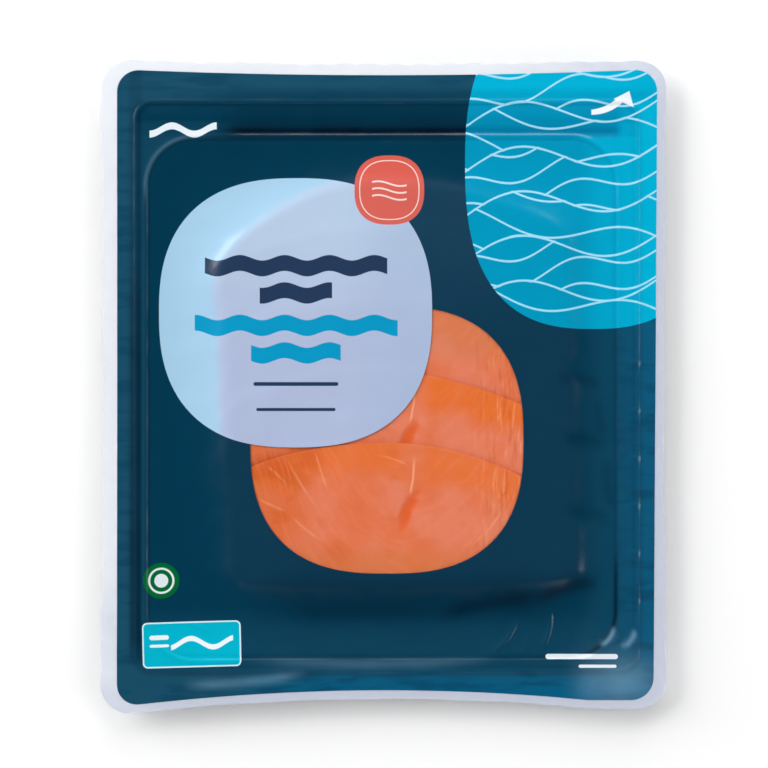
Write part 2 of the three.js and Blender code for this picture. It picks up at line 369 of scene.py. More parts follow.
# Meshes: step along each outline, and spacing of points inside it
film_step = 1.0
print_step = 0.9
field_step = 0.8
flesh_step = 1.1
film_spacing = 1.2
relief_spacing = 0.5
flesh_spacing = 1.15

# Grid that carries the heights
cell = 0.5
grid_x = np.arange(-84.0, 84.0 + cell / 2, cell)
grid_y = np.arange(-97.0, 97.0 + cell / 2, cell)
X, Y = np.meshgrid(grid_x, grid_y)


def smoothstep(value, low, high):
    t = np.clip((value - low) / (high - low), 0, 1)
    return t * t * (3 - 2 * t)


# Distance from the edge of a rounded rectangle, positive inside it
def inside_rounded(x, y, shape):
    from_side = shape["width"] / 2 - np.abs(x - shape["x"])
    from_end = shape["length"] / 2 - np.abs(y - shape["y"])
    corner = shape["corner"]
    round_part = corner - np.hypot(corner - from_side, corner - from_end)
    straight = np.minimum(from_side, from_end)
    return np.where(np.maximum(from_side, from_end) > corner, straight, round_part)


# The same grid field smoothed over a reach
def softened(field, reach, stretch=1.0):
    fx = np.fft.fftfreq(X.shape[1], cell) * reach * stretch
    fy = np.fft.fftfreq(X.shape[0], cell) * reach
    weight = np.exp(-2 * (fx[None, :] ** 2 + fy[:, None] ** 2))
    return np.real(np.fft.ifft2(np.fft.fft2(field) * weight))


# Seeded random field of unit size whose bumps are about one wavelength wide
def soft_noise(wavelength, seed, stretch=1.0):
    field = np.random.default_rng(seed).standard_normal(X.shape)
    field = softened(field, wavelength, stretch)
    return field / field.std()


# Values of a grid field at any points
def sample(field, x, y):
    column = np.clip((x - grid_x[0]) / cell, 0, len(grid_x) - 1.001)
    row = np.clip((y - grid_y[0]) / cell, 0, len(grid_y) - 1.001)
    i = column.astype(int)
    j = row.astype(int)
    u = column - i
    v = row - j
    low = field[j, i] * (1 - u) + field[j, i + 1] * u
    high = field[j + 1, i] * (1 - u) + field[j + 1, i + 1] * u
    return low * (1 - v) + high * v


# Lower and upper edge of a slice at one x
def slice_edges(x, number):
    top = first_edge - number * slice_pitch
    away = (x - arch_middle) ** 2
    arch = np.where((number == 0) & (x < arch_middle), first_arch, upper_arch)
    return top - slice_length - lower_arch * away, top - arch * away


def slice_centre(number):
    return slice_middle + slice_side_step * (number - (len(slice_names) - 1) / 2)


def inside_slice(x, y, number):
    lower, upper = slice_edges(x, number)
    local_y = slice_length * ((y - lower) / (upper - lower) - 0.5)
    return inside_rounded(x - slice_centre(number), local_y, slice_shape)


# Share of the pile that a slice takes, thin towards its edge
def slice_share(x, y, number):
    inside = inside_slice(x, y, number)
    return (slice_edge_share + smoothstep(inside, 0, slice_taper)) * (inside > -1)


# The raised upper edge of a slice, seen as a small step
def slice_lift(x, y, number):
    below_edge = np.clip(slice_edges(x, number)[1] - y, 0, None)
    return slice_step * np.exp(-below_edge / slice_step_run)


# Height of the whole pile, rounded at its sides
def pile_surface(x, y):
    inside = np.max([inside_slice(x, y, n) for n in range(len(slice_names))], axis=0)
    share = np.clip(inside / pile_shoulder, 0, 1)
    dome = (1 - (1 - share) ** 2.2) ** 0.8
    swell = 0.16 * np.sin(x / 13 + 0.4) * np.sin(y / 17 + 1.1) + 0.1 * np.sin(x / 7.1 - y / 9.3)
    return pile_floor + (pile_height + swell) * dome


# Height of one slice's underside, or of its top when it counts itself
def slice_level(x, y, number, counted):
    shares = [slice_share(x, y, n) for n in range(len(slice_names))]
    part = sum(shares[:counted]) if counted else np.zeros(x.shape)
    level = pile_floor + (pile_surface(x, y) - pile_floor) * part / (sum(shares) + 1e-6)
    lifts = [slice_lift(x, y, n) * (inside_slice(x, y, n) > 0) for n in range(counted)]
    return level + (sum(lifts) if lifts else 0)


def slice_top(x, y, number):
    return slice_level(x, y, number, number + 1)


def bump(value, width):
    return np.exp(-0.5 * (value / width) ** 2)


# 1 along a bent line, fading at both ends
def along_line(x, y, start, end, width, bend):
    start = np.array(start)
    end = np.array(end)
    length = np.linalg.norm(end - start)
    along = (end - start) / length
    run = ((x - start[0]) * along[0] + (y - start[1]) * along[1]) / length
    curve = bend * np.sin(np.pi * np.clip(run, 0, 1))
    across = (x - start[0]) * along[1] - (y - start[1]) * along[0] - curve
    fade = smoothstep(run, -0.05, 0.25) * (1 - smoothstep(run, 0.75, 1.05))
    return fade * bump(across, width)


# Gentle wave of the whole seal
def seal_wave(x, y):
    return 0.45 * np.sin(x / 34 + 0.6) * np.cos((y - middle_y) / 43 - 0.4)


# Embossed ribs, the groove and bands of the upper seal, and the ladder marks on the right
def embossing(x, y):
    ridge = rib_height * bump(inside_rounded(x, y, rib), rib_width)
    inside = inside_rounded(x, y, pocket)
    raised = bump(inside + 0.5, pocket_bead_width)
    sunken = bump(inside - 0.6, pocket_bead_width)
    bead = pocket_bead * (raised - sunken)
    start = smoothstep(x, groove_start, groove_start + 14)
    in_groove = start * (1 - smoothstep(x, groove_end - 4, groove_end))
    groove = groove_depth * bump(y - groove_y, groove_width) * in_groove
    bands = sum(height * bump(y - level, width) for level, height, width in band_lines)
    in_bands = 1 - smoothstep(np.abs(x - rib["x"]), rib["width"] / 2 - 3, rib["width"] / 2)
    ticks = 0
    for i in range(tick_count):
        level = y - tick_top + tick_pitch * i
        ticks = ticks + bump(x - tick_x, 1.0) * bump(level, 0.45)
        ticks = ticks - 0.6 * bump(x - tick_x + 0.5, 1.3) * bump(level + tick_pitch / 2, 3.0)
    return ridge + bead - groove + bands * in_bands + tick_height * ticks


def creases_height(x, y):
    lines = [
        height * along_line(x, y, start, end, crease_width, crease_bend)
        for start, end, height in creases
    ]
    return sum(lines)


# Upper face of the bottom film: seal level outside the pocket, wall and floor inside it
def bottom_surface(level):
    share = np.clip(inside_rounded(X, Y, pocket) / pocket_wall, 0, 1)
    drop = np.sin(share * math.pi / 2) ** 1.2
    return level + (film - level) * drop


# Film stretched over the pile: it hangs between its supports and can't pass through them
def stretch_film(start, support, held, pull, turns):
    height = start.copy()
    for _ in range(turns):
        middle = (
            height[:-2, 1:-1] + height[2:, 1:-1] + height[1:-1, :-2] + height[1:-1, 2:]
        ) / 4 - pull
        inner = np.maximum(middle, support[1:-1, 1:-1])
        height[1:-1, 1:-1] = np.where(held[1:-1, 1:-1], start[1:-1, 1:-1], inner)
    return height


def height_fields():
    uneven = 0.05 * soft_noise(9, 5, 2.0) + 0.02 * soft_noise(3.5, 6, 3.0)
    level = seal_level + seal_wave(X, Y) + uneven
    below = bottom_surface(level)
    pile = below.copy()
    for number in range(len(slice_names)):
        on_slice = inside_slice(X, Y, number) > 0
        pile = np.where(on_slice, np.maximum(pile, slice_top(X, Y, number)), pile)
    in_pocket = inside_rounded(X, Y, pocket)
    start = np.where(in_pocket > 0, np.maximum(pile, level - 0.6), level)
    film_height = stretch_film(start, pile, in_pocket <= 0, film_pull, film_turns)
    contact = 1 - smoothstep(film_height - pile, *contact_gap)
    contact = softened(contact * (pile > below + 0.3), contact_reach)
    contact = smoothstep(contact, 0.3, 0.8)
    ruffle = 0.05 * soft_noise(8, 11) + 0.04 * soft_noise(16, 12, 0.5)
    film_height = film_height + np.abs(ruffle) * smoothstep(in_pocket, 0, 2)
    return {"below": below, "film": film_height + film_clearance, "contact": contact}


# Closed curve round a rounded rectangle, anticlockwise
def rounded_loop(low, high, corner, step):
    points = []
    turns = ((1, -1), (1, 1), (-1, 1), (-1, -1))
    steps = max(4, int(corner * math.pi / 2 / step))
    for quarter, (side_x, side_y) in enumerate(turns):
        centre_x = high[0] - corner if side_x > 0 else low[0] + corner
        centre_y = high[1] - corner if side_y > 0 else low[1] + corner
        for i in range(steps + 1):
            angle = math.pi / 2 * (quarter - 1 + i / steps)
            points.append((centre_x + corner * math.cos(angle), centre_y + corner * math.sin(angle)))
    return refine(np.array(points), step)


# The same closed curve with points added where they are far apart
def refine(points, step):
    result = []
    for start, end in zip(points, np.roll(points, -1, axis=0)):
        count = max(1, int(round(np.linalg.norm(end - start) / step)))
        for i in range(count):
            result.append(start + (end - start) * i / count)
    return np.array(result)


def superellipse_loop(shape, step):
    x, y, a, b, power = shape
    angles = np.linspace(0, 2 * math.pi, int(2 * math.pi * max(a, b) / step), endpoint=False)
    cos = np.cos(angles)
    sin = np.sin(angles)
    px = x + a * np.sign(cos) * np.abs(cos) ** (2 / power)
    py = y + b * np.sign(sin) * np.abs(sin) ** (2 / power)
    return refine(np.column_stack([px, py]), step)


# How far the two ends of a sheet bow in at one x; the lower right end stays flat
def end_bow(x, y, half_width):
    along = 1 - (x / half_width) ** 2
    flat = np.maximum(along, flat_share * np.clip(-y / flat_reach, 0, 1))
    return np.where(x > 0, flat, along)


# Outer edge of the films, a little ragged
def pack_loop(step):
    half = np.array(pack_half)
    points = rounded_loop(-half, half, pack_corner, step)
    x, y = points.T
    along_y = 1 - (y / half[1]) ** 2
    bow = np.where(y > 0, top_bow, bottom_bow) * end_bow(x, y, half[0])
    rough = ragged * (0.5 + 0.3 * np.sin(0.21 * x - 0.13 * y) + 0.2 * np.sin(0.83 * x + 0.61 * y))
    new_x = x - np.sign(x) * (side_bow * along_y + rough * (np.abs(x) > half[0] - pack_corner))
    new_y = y - np.sign(y) * (bow + rough * (np.abs(y) > half[1] - pack_corner))
    return np.column_stack([new_x, new_y + middle_y])


# Outer edge of the print
def print_loop(step):
    points = rounded_loop(print_low, print_high, print_corner, step)
    x, y = points.T
    bow = np.where(y > 0, -print_top_bow, print_bottom_bow) * end_bow(x, y, print_high[0])
    slant = print_slant * (y / print_high[1]) * np.clip(x / print_high[0], 0, 1)
    return np.column_stack([x + slant, y + bow])


def slice_loop(number, step):
    half = np.array([slice_shape["width"], slice_length]) / 2
    points = rounded_loop(-half, half, slice_shape["corner"], step)
    turn = np.arctan2(points[:, 1] / half[1], points[:, 0] / half[0])
    shrink = 1 - slice_wobble * (1.2 + np.sin(7 * turn + 1.9 * number)) / slice_length
    local_x, local_y = (points * shrink[:, None]).T
    x = local_x + slice_centre(number)
    lower, upper = slice_edges(x, number)
    return np.column_stack([x, lower + (upper - lower) * (local_y / slice_length + 0.5)])


# Which points lie inside a closed curve
def inside_loop(points, loop):
    inside = np.zeros(len(points), bool)
    for start, end in zip(loop, np.roll(loop, -1, axis=0)):
        crosses = (start[1] > points[:, 1]) != (end[1] > points[:, 1])
        rows = np.nonzero(crosses)[0]
        share = (points[rows, 1] - start[1]) / (end[1] - start[1])
        inside[rows] ^= points[rows, 0] < start[0] + share * (end[0] - start[0])
    return inside


# Points of an even triangular grid inside a curve
def scatter(loop, spacing):
    low = loop.min(axis=0)
    high = loop.max(axis=0)
    rows = np.arange(low[1], high[1], spacing * math.sqrt(3) / 2)
    shift = spacing / 2
    grid = [
        (x, y)
        for row, y in enumerate(rows)
        for x in np.arange(low[0] + shift * (row % 2), high[0], spacing)
    ]
    grid = np.array(grid)
    return grid[inside_loop(grid, loop)]


# Triangles inside the first curve, with edges along every curve, finer where there is detail
def plan_mesh(loops, spacing, fine_spacing=None, is_fine=None):
    tree = kdtree.KDTree(sum(len(loop) for loop in loops))
    outline = [tuple(point) for loop in loops for point in loop]
    for i, point in enumerate(outline):
        tree.insert((point[0], point[1], 0), i)
    tree.balance()
    grid = scatter(loops[0], spacing)
    if is_fine:
        fine = scatter(loops[0], fine_spacing)
        grid = np.concatenate([grid[~is_fine(*grid.T)], fine[is_fine(*fine.T)]])
        clear = fine_spacing * 0.6
    else:
        clear = spacing * 0.55
    kept = [p for p in grid if tree.find((p[0], p[1], 0))[2] > clear]
    edges = []
    first = 0
    for loop in loops:
        count = len(loop)
        edges.extend((first + i, first + (i + 1) % count) for i in range(count))
        first += count
    points = [Vector(p) for p in outline] + [Vector(p) for p in kept]
    found, _, triangles, _, _, _ = delaunay_2d_cdt(points, edges, [], 0, 1e-5, False)
    found = np.array([tuple(v) for v in found])
    triangles = np.array([tuple(t) for t in triangles])
    middles = found[triangles].mean(axis=1)
    triangles = triangles[inside_loop(middles, loops[0])]
    used, triangles = np.unique(triangles, return_inverse=True)
    return found[used], triangles.reshape(-1, 3)


# Closed sheet between an underside and a top side over one plan
def sheet_object(name, plan, triangles, under, over, kinds, materials):
    count = len(plan)
    top = np.column_stack([plan, over])
    bottom = np.column_stack([plan, under])
    a, b, c = plan[triangles[:, 0]], plan[triangles[:, 1]], plan[triangles[:, 2]]
    turn = (b[:, 0] - a[:, 0]) * (c[:, 1] - a[:, 1]) - (b[:, 1] - a[:, 1]) * (c[:, 0] - a[:, 0])
    triangles = np.where(turn[:, None] > 0, triangles, triangles[:, ::-1])
    sides = np.concatenate([triangles[:, [0, 1]], triangles[:, [1, 2]], triangles[:, [2, 0]]])
    owner = np.tile(np.arange(len(triangles)), 3)
    keys = {tuple(side): face for side, face in zip(sides.tolist(), owner)}
    rim = [(i, j, face) for (i, j), face in keys.items() if (j, i) not in keys]
    faces = (triangles + count).tolist() + triangles[:, ::-1].tolist()
    faces += [(i, j, j + count, i + count) for i, j, _ in rim]
    mesh = bpy.data.meshes.new(name)
    mesh.from_pydata((np.vstack([bottom, top]) * MM).tolist(), [], faces)
    kind = np.concatenate([kinds, kinds, np.array([kinds[face] for _, _, face in rim])])
    mesh.polygons.foreach_set("material_index", kind.astype(np.int32))
    mesh.polygons.foreach_set("use_smooth", np.ones(len(faces), bool))
    mesh.set_sharp_from_angle(angle=math.radians(50))
    for material in materials:
        mesh.materials.append(material)
    piece = bpy.data.objects.new(name, mesh)
    bpy.context.scene.collection.objects.link(piece)
    return piece


# Values that a material reads at each point of a mesh
def paint(piece, name, *channels):
    layer = piece.data.attributes.new(name, "FLOAT_COLOR", "POINT")
    both = np.tile(np.column_stack(channels), (2, 1))
    layer.data.foreach_set("color", both.astype(np.float32).ravel())


# A number that varies over a surface, as one output of a material's nodes
class Field:
    def __init__(self, paper, socket):
        self.paper = paper
        self.socket = socket

    def __add__(self, other):
        return self.paper.math("ADD", self, other)

    def __sub__(self, other):
        return self.paper.math("SUBTRACT", self, other)

    def __rsub__(self, other):
        return self.paper.math("SUBTRACT", other, self)

    def __mul__(self, other):
        return self.paper.math("MULTIPLY", self, other)

    def __truediv__(self, other):
        return self.paper.math("DIVIDE", self, other)

    def __pow__(self, other):
        return self.paper.math("POWER", self, other)

    def __abs__(self):
        return self.paper.math("ABSOLUTE", self)

    __radd__ = __add__
    __rmul__ = __mul__


def linear(colour):
    values = [c / 255 for c in colour]
    return (*(c / 12.92 if c <= 0.04045 else ((c + 0.055) / 1.055) ** 2.4 for c in values), 1.0)


# Nodes of one material, written as sums
class Paper:
    def __init__(self, name):
        self.material = bpy.data.materials.new(name)
        self.material.use_nodes = True
        self.tree = self.material.node_tree
        self.shader = self.tree.nodes["Principled BSDF"]

    def feed(self, socket, value):
        if isinstance(value, Field):
            self.tree.links.new(value.socket, socket)
        else:
            socket.default_value = value

    def math(self, operation, *values):
        node = self.tree.nodes.new("ShaderNodeMath")
        node.operation = operation
        for socket, value in zip(node.inputs, values):
            self.feed(socket, value)
        return Field(self, node.outputs[0])

    def clamp(self, value):
        result = self.math("ADD", value, 0.0)
        result.socket.node.use_clamp = True
        return result

    # Position in millimetres
    def place(self):
        coordinates = self.tree.nodes.new("ShaderNodeTexCoord")
        parts = self.tree.nodes.new("ShaderNodeSeparateXYZ")
        self.tree.links.new(coordinates.outputs["Object"], parts.inputs[0])
        return [Field(self, parts.outputs[i]) / MM for i in range(2)]

    # The four values that were painted on the mesh
    def painted(self, name):
        layer = self.tree.nodes.new("ShaderNodeAttribute")
        layer.attribute_name = name
        parts = self.tree.nodes.new("ShaderNodeSeparateColor")
        self.tree.links.new(layer.outputs["Color"], parts.inputs[0])
        sockets = [parts.outputs[i] for i in range(3)] + [layer.outputs["Alpha"]]
        return [Field(self, socket) for socket in sockets]

    def noise(self, x, y, size, detail=2.0, seed=0.0):
        vector = self.tree.nodes.new("ShaderNodeCombineXYZ")
        self.feed(vector.inputs[0], x)
        self.feed(vector.inputs[1], y)
        vector.inputs[2].default_value = seed
        node = self.tree.nodes.new("ShaderNodeTexNoise")
        node.inputs["Scale"].default_value = 1 / size
        node.inputs["Detail"].default_value = detail
        self.tree.links.new(vector.outputs[0], node.inputs["Vector"])
        return Field(self, node.outputs[0])

    def ramp(self, value, low, high):
        node = self.tree.nodes.new("ShaderNodeMapRange")
        node.interpolation_type = "SMOOTHSTEP"
        self.feed(node.inputs[0], value)
        self.feed(node.inputs[1], low)
        self.feed(node.inputs[2], high)
        return Field(self, node.outputs[0])

    def mix(self, share, first, second):
        node = self.tree.nodes.new("ShaderNodeMix")
        node.data_type = "RGBA"
        self.feed(node.inputs[0], share)
        for socket, value in ((node.inputs[6], first), (node.inputs[7], second)):
            self.feed(socket, value if isinstance(value, Field) else linear(value))
        return Field(self, node.outputs[2])

    # 1 where a distance is negative, with a soft step as wide as printed edges are
    def inside(self, distance, softness=0.14):
        return self.clamp(0.5 - distance / softness)

    # Distance from a superellipse, about right near its edge
    def superellipse(self, x, y, shape):
        centre_x, centre_y, a, b, power = shape
        reach = (abs(x - centre_x) / a) ** power + (abs(y - centre_y) / b) ** power
        return (reach ** (1 / power) - 1) * min(a, b)

    def disc(self, x, y, centre, radius):
        return self.math("SQRT", (x - centre[0]) ** 2 + (y - centre[1]) ** 2) - radius

    # Distance from a bar with round ends
    def bar(self, x, y, centre, length, height):
        over = self.math("MAXIMUM", abs(x - centre[0]) - (length - height) / 2, 0.0)
        return self.math("SQRT", over ** 2 + (y - centre[1]) ** 2) - height / 2

    # Distance from a bent line, growing towards its ends
    def line(self, x, y, start, end, bend):
        reach = Vector(end) - Vector(start)
        along = reach.normalized()
        run = ((x - start[0]) * along.x + (y - start[1]) * along.y) / reach.length
        curve = self.math("SINE", self.clamp(run) * math.pi) * bend
        across = (x - start[0]) * along.y - (y - start[1]) * along.x - curve
        beyond = self.math("MAXIMUM", abs(run - 0.5) - 0.3, 0.0)
        return abs(across) + beyond * 1.6

    def fold(self, operation, fields):
        result = fields[0]
        for field in fields[1:]:
            result = self.math(operation, result, field)
        return result

    def smallest(self, *fields):
        return self.fold("MINIMUM", fields)

    def largest(self, *fields):
        return self.fold("MAXIMUM", fields)

    def sine(self, x, wavelength, phase=0.0):
        return self.math("SINE", x * (2 * math.pi / wavelength) + phase)

    def bump(self, height, distance):
        node = self.tree.nodes.new("ShaderNodeBump")
        node.inputs["Distance"].default_value = distance * MM
        self.feed(node.inputs["Height"], height)
        self.tree.links.new(node.outputs[0], self.shader.inputs["Normal"])

    def finish(self, colour, roughness, **constants):
        self.feed(self.shader.inputs["Base Color"], colour)
        self.feed(self.shader.inputs["Roughness"], roughness)
        for name, value in constants.items():
            self.shader.inputs[name.replace("_", " ")].default_value = value
        return self.material


# Distance from a family of wavy lines that repeat up the sheet
def wavy_lines(paper, x, y, pitch, height, wavelength, phase, tilt):
    level = y + paper.sine(x, wavelength, phase) * height + x * tilt
    return paper.math("PINGPONG", level, pitch / 2)


# Pale lines over the bright blue field, in bands that run like a swell
def sea_lines(paper, x, y):
    rise = paper.sine(x, sea_swell["wavelength"], sea_swell["phase"]) * sea_swell["height"]
    level = paper.math("PINGPONG", y + rise + x * sea_swell["tilt"], sea_swell["pitch"])
    long_lines = wavy_lines(paper, x, y, *long_waves)
    short_lines = wavy_lines(paper, x, y, *short_waves)
    upper = paper.largest(long_lines, swell_shore - swell_gap - level)
    lower = paper.largest(short_lines, level - swell_shore - swell_gap)
    shore = abs(level - swell_shore)
    return paper.inside(paper.smallest(upper, lower, shore) - sea_line_half, 0.2)


# Curved arrow: a round sweep that ends in a head
def arrow(paper, x, y):
    outer = paper.disc(x, y, *sweep_outer)
    inner = paper.disc(x, y, *sweep_inner)
    sweep = paper.largest(outer, 0.0 - inner, sweep_start - x, x - sweep_end, y - sweep_top)
    sides = ((head_tip, head_left), (head_tip, head_right), (head_base, head_back))
    edges = [(x - px) * nx + (y - py) * ny for (px, py), (nx, ny) in sides]
    head = paper.largest(*edges)
    return paper.inside(paper.smallest(sweep, head), 0.2)


# Wave stroke with square ends
def stroke(paper, x, y, centre, length, height, swing):
    wave = paper.sine(x - centre[0], stroke_wave) * swing
    return paper.largest(abs(x - centre[0]) - length / 2, abs(y - centre[1] + wave) - height / 2)


# Distance from the nearest of some strokes and bars
def marks(paper, x, y, strokes, bars):
    shapes = [stroke(paper, x, y, *shape) for shape in strokes]
    shapes += [paper.bar(x, y, *shape) for shape in bars]
    return paper.smallest(*shapes)


# Marks on the pale label: two navy strokes, two bright blue ones and two thin bars
def label_marks(paper, x, y, colour):
    navy = marks(paper, x, y, navy_strokes, label_bars)
    bright = marks(paper, x, y, blue_strokes, ())
    colour = paper.mix(paper.inside(navy), colour, ink["navy"])
    return paper.mix(paper.inside(bright), colour, ink["bright blue"])


# Round coral badge with a pale ring and three small waves
def badge_marks(paper, x, y, colour, tint):
    coral = paper.mix(tint, ink["coral"], ink["coral on pile"])
    shape = paper.superellipse(x, y, badge)
    colour = paper.mix(paper.inside(shape), colour, coral)
    ring = abs(shape + badge_ring_inset) - badge_ring_half
    waves = marks(paper, x, y, badge_strokes, ())
    return paper.mix(paper.inside(paper.smallest(ring, waves)), colour, ink["badge line"])


# Green disc with a pale ring, and the teal panel with its pale border
def corner_marks(paper, x, y, colour):
    green = paper.disc(x, y, disc_place, disc_radius)
    colour = paper.mix(paper.inside(green), colour, ink["green"])
    dot = paper.disc(x, y, disc_place, dot_radius)
    ring = abs(green + disc_ring_inset) - disc_ring_half
    colour = paper.mix(paper.inside(paper.smallest(ring, dot)), colour, ink["disc line"])
    from_x = x - panel_place[0]
    from_y = y - panel_place[1]
    turned_x = from_x + from_y * panel_turn
    turned_y = from_y - from_x * panel_turn
    core_x = paper.math("MAXIMUM", abs(turned_x) - (panel_half[0] - panel_corner), 0.0)
    core_y = paper.math("MAXIMUM", abs(turned_y) - (panel_half[1] - panel_corner), 0.0)
    panel = paper.math("SQRT", core_x**2 + core_y**2) - panel_corner
    colour = paper.mix(paper.inside(panel), colour, ink["teal border"])
    colour = paper.mix(paper.inside(panel + panel_border), colour, ink["teal"])
    lines = marks(paper, turned_x, turned_y, (panel_stroke,), panel_bars)
    return paper.mix(paper.inside(lines), colour, ink["teal mark"])


# Small pale marks on the dark print
def pale_marks(paper, x, y, colour):
    lines = marks(paper, x, y, (pale_stroke,), pale_bars)
    return paper.mix(paper.inside(lines), colour, ink["pale mark"])


# Dark print: deep blue, paler over the pile, paler in the seal partly by painted sheen, bluer below
# and at the right, then darkened by painted shade and lightened by painted highlights
def ground_colour(paper, x, y, seal, contact, dark, light):
    cloud = paper.noise(x, y, 14.0, 3.0, 1.0)
    streaks = paper.noise(x * 0.3, y * 1.5, 4.0, 3.0, 7.0)
    patch = paper.ramp(streaks, 0.46, 0.66) * seal
    low = paper.ramp(y, -79.0, -88.5) * paper.ramp(x, -50.0, -15.0)
    upper = paper.ramp(y, 12.0, 50.0)
    right = paper.ramp(x, 58.0, 76.0) * 0.7
    flange = paper.mix(paper.largest(low, right), ink["seal"], ink["blue seal"])
    over_pile = paper.mix(upper, ink["low pile"], ink["high pile"])
    colour = paper.mix(contact, ink["pocket"], over_pile)
    colour = paper.mix(seal * (0.75 + 0.5 * cloud), colour, flange)
    colour = paper.mix(patch * 0.5, colour, ink["patch"])
    colour = paper.mix(dark * (0.7 + 0.6 * cloud), colour, ink["deep"])
    return paper.mix(light * (0.5 + cloud), colour, ink["painted_highlights"])


# Printed part of the top film, with painted sheen, shade and highlights over the print
def print_material():
    paper = Paper("printed_film")
    x, y = paper.place()
    seal, contact, dark, light = paper.painted("zones")
    colour = ground_colour(paper, x, y, seal, contact, dark, light)
    # Bright blue field: paler on the seal partly by painted sheen, darker in painted shade
    blue = paper.mix(seal, ink["sea"], ink["sea on seal"])
    blue = paper.mix(dark * 0.6, blue, ink["deep sea"])
    blue = paper.mix(sea_lines(paper, x, y), blue, ink["sea line"])
    colour = paper.mix(paper.inside(paper.superellipse(x, y, sea)), colour, blue)
    colour = paper.mix(arrow(paper, x, y), colour, ink["arrow"])
    over_fish = paper.mix(paper.ramp(y, 8.0, 52.0), ink["low label"], ink["high label"])
    over_fish = paper.mix(paper.ramp(x, -16.0, 8.0) * 0.5, over_fish, ink["right label"])
    pale = paper.mix(contact, ink["label"], over_fish)
    pale = label_marks(paper, x, y, pale)
    colour = paper.mix(paper.inside(paper.superellipse(x, y, label)), colour, pale)
    colour = badge_marks(paper, x, y, colour, contact)
    colour = corner_marks(paper, x, y, colour)
    colour = pale_marks(paper, x, y, colour)
    rough = 0.15 + 0.1 * paper.noise(x, y, 5.0, 2.0, 3.0)
    paper.bump(paper.noise(x, y, 2.4, 3.0, 5.0), 0.03)
    return paper.finish(colour, rough, IOR=1.5)


# Clear film with painted light: whiter, its lit colour, towards the upper left of the pack, and its
# shaded colour towards the lower right
def clear_material(name):
    shaded, lit, alpha, roughness = clear_films[name]
    paper = Paper(name)
    x, y = paper.place()
    rough = roughness + 0.1 * paper.noise(x, y, 6.0, 2.0, 9.0)
    paper.bump(paper.noise(x, y, 3.0, 3.0, 4.0), 0.05)
    side = y * 0.8 - x + 50.0 * paper.noise(x, y, 8.0, 3.0, 2.0) - 25.0
    tint = paper.mix(paper.ramp(side, -15.0, 45.0), shaded, lit)
    return paper.finish(tint, rough, IOR=1.5, Alpha=alpha)


# How far down a slice a point lies from its upper edge, in millimetres
def depth_on_slice(paper):
    layout = paper.tree.nodes.new("ShaderNodeUVMap")
    layout.uv_map = "slice"
    parts = paper.tree.nodes.new("ShaderNodeSeparateXYZ")
    paper.tree.links.new(layout.outputs[0], parts.inputs[0])
    return Field(paper, parts.outputs[1]) * slice_unit


# Flesh between orange and pink, with an orange band below the upper edge
def flesh_bands(paper, y, down, seam_x, wander, cloud):
    colour = paper.mix(paper.ramp(cloud, 0.36, 0.6), fish["orange"], fish["pink"])
    near_seam = paper.ramp(abs(seam_x), 1.0, 6.0)
    band_end = band_depth + wander * 9.0
    below_band = paper.ramp(down, band_end - band_fade[0], band_end + band_fade[1])
    band = (1 - below_band) * (0.35 + near_seam * 0.6)
    band = band * (1 - 0.22 * paper.ramp(y, -12.0, -18.0))
    return paper.mix(band, colour, fish["upper band"])


# Darker patches at the left, orange spots, and duller flesh at both ends of the window
def flesh_patches(paper, x, y, wander, colour):
    blotch = paper.ramp(paper.noise(x, y, 8.0, 2.0, 12.0), 0.52, 0.7)
    left = paper.ramp(x, -14.0, -30.0)
    colour = paper.mix(blotch * 0.2 + left * (0.5 + blotch * 0.3), colour, fish["left patch"])
    spots = [paper.disc(x, y, place, radius) for place, radius in flesh_spots]
    ragged_spots = paper.smallest(*spots) + wander * 9.0
    colour = paper.mix(0.65 * (1 - paper.ramp(ragged_spots, -0.5, 4.5)), colour, fish["spot"])
    colour = paper.mix(paper.ramp(y, 4.0, 14.0) * 0.6, colour, fish["far end"])
    return paper.mix(paper.ramp(y, -43.0, -52.0) * 0.75, colour, fish["near end"])


# How much of the pale seam and of the darker slit at its end shows
def flesh_seam(paper, down, seam_x, fine):
    start, full, last, end = seam_run
    line_part = paper.ramp(down, start, full) * (1 - paper.ramp(down, last, end))
    seam = paper.inside(abs(seam_x) - seam_half, 0.7) * line_part
    slit_down = down - slit_place
    slit_side = seam_x + slit_down * slit_slant + (fine - 0.5) * 2.4
    from_slit = (slit_side * slit_narrow) ** 2 + (slit_down * slit_short) ** 2
    return seam, 1 - paper.ramp(from_slit, 0.0, 6.0)


# Pale and dark streaks across the right side
def flesh_streaks(paper, x, y, colour):
    grain = paper.noise(x * 2.2, y * 0.3, 2.0, 3.0, 15.0)
    right = paper.ramp(x, 22.0, 36.0)
    colour = paper.mix(paper.ramp(grain, 0.56, 0.7) * right * 0.35, colour, fish["pale streak"])
    return paper.mix(paper.ramp(grain, 0.48, 0.34) * right * 0.45, colour, fish["dark streak"])


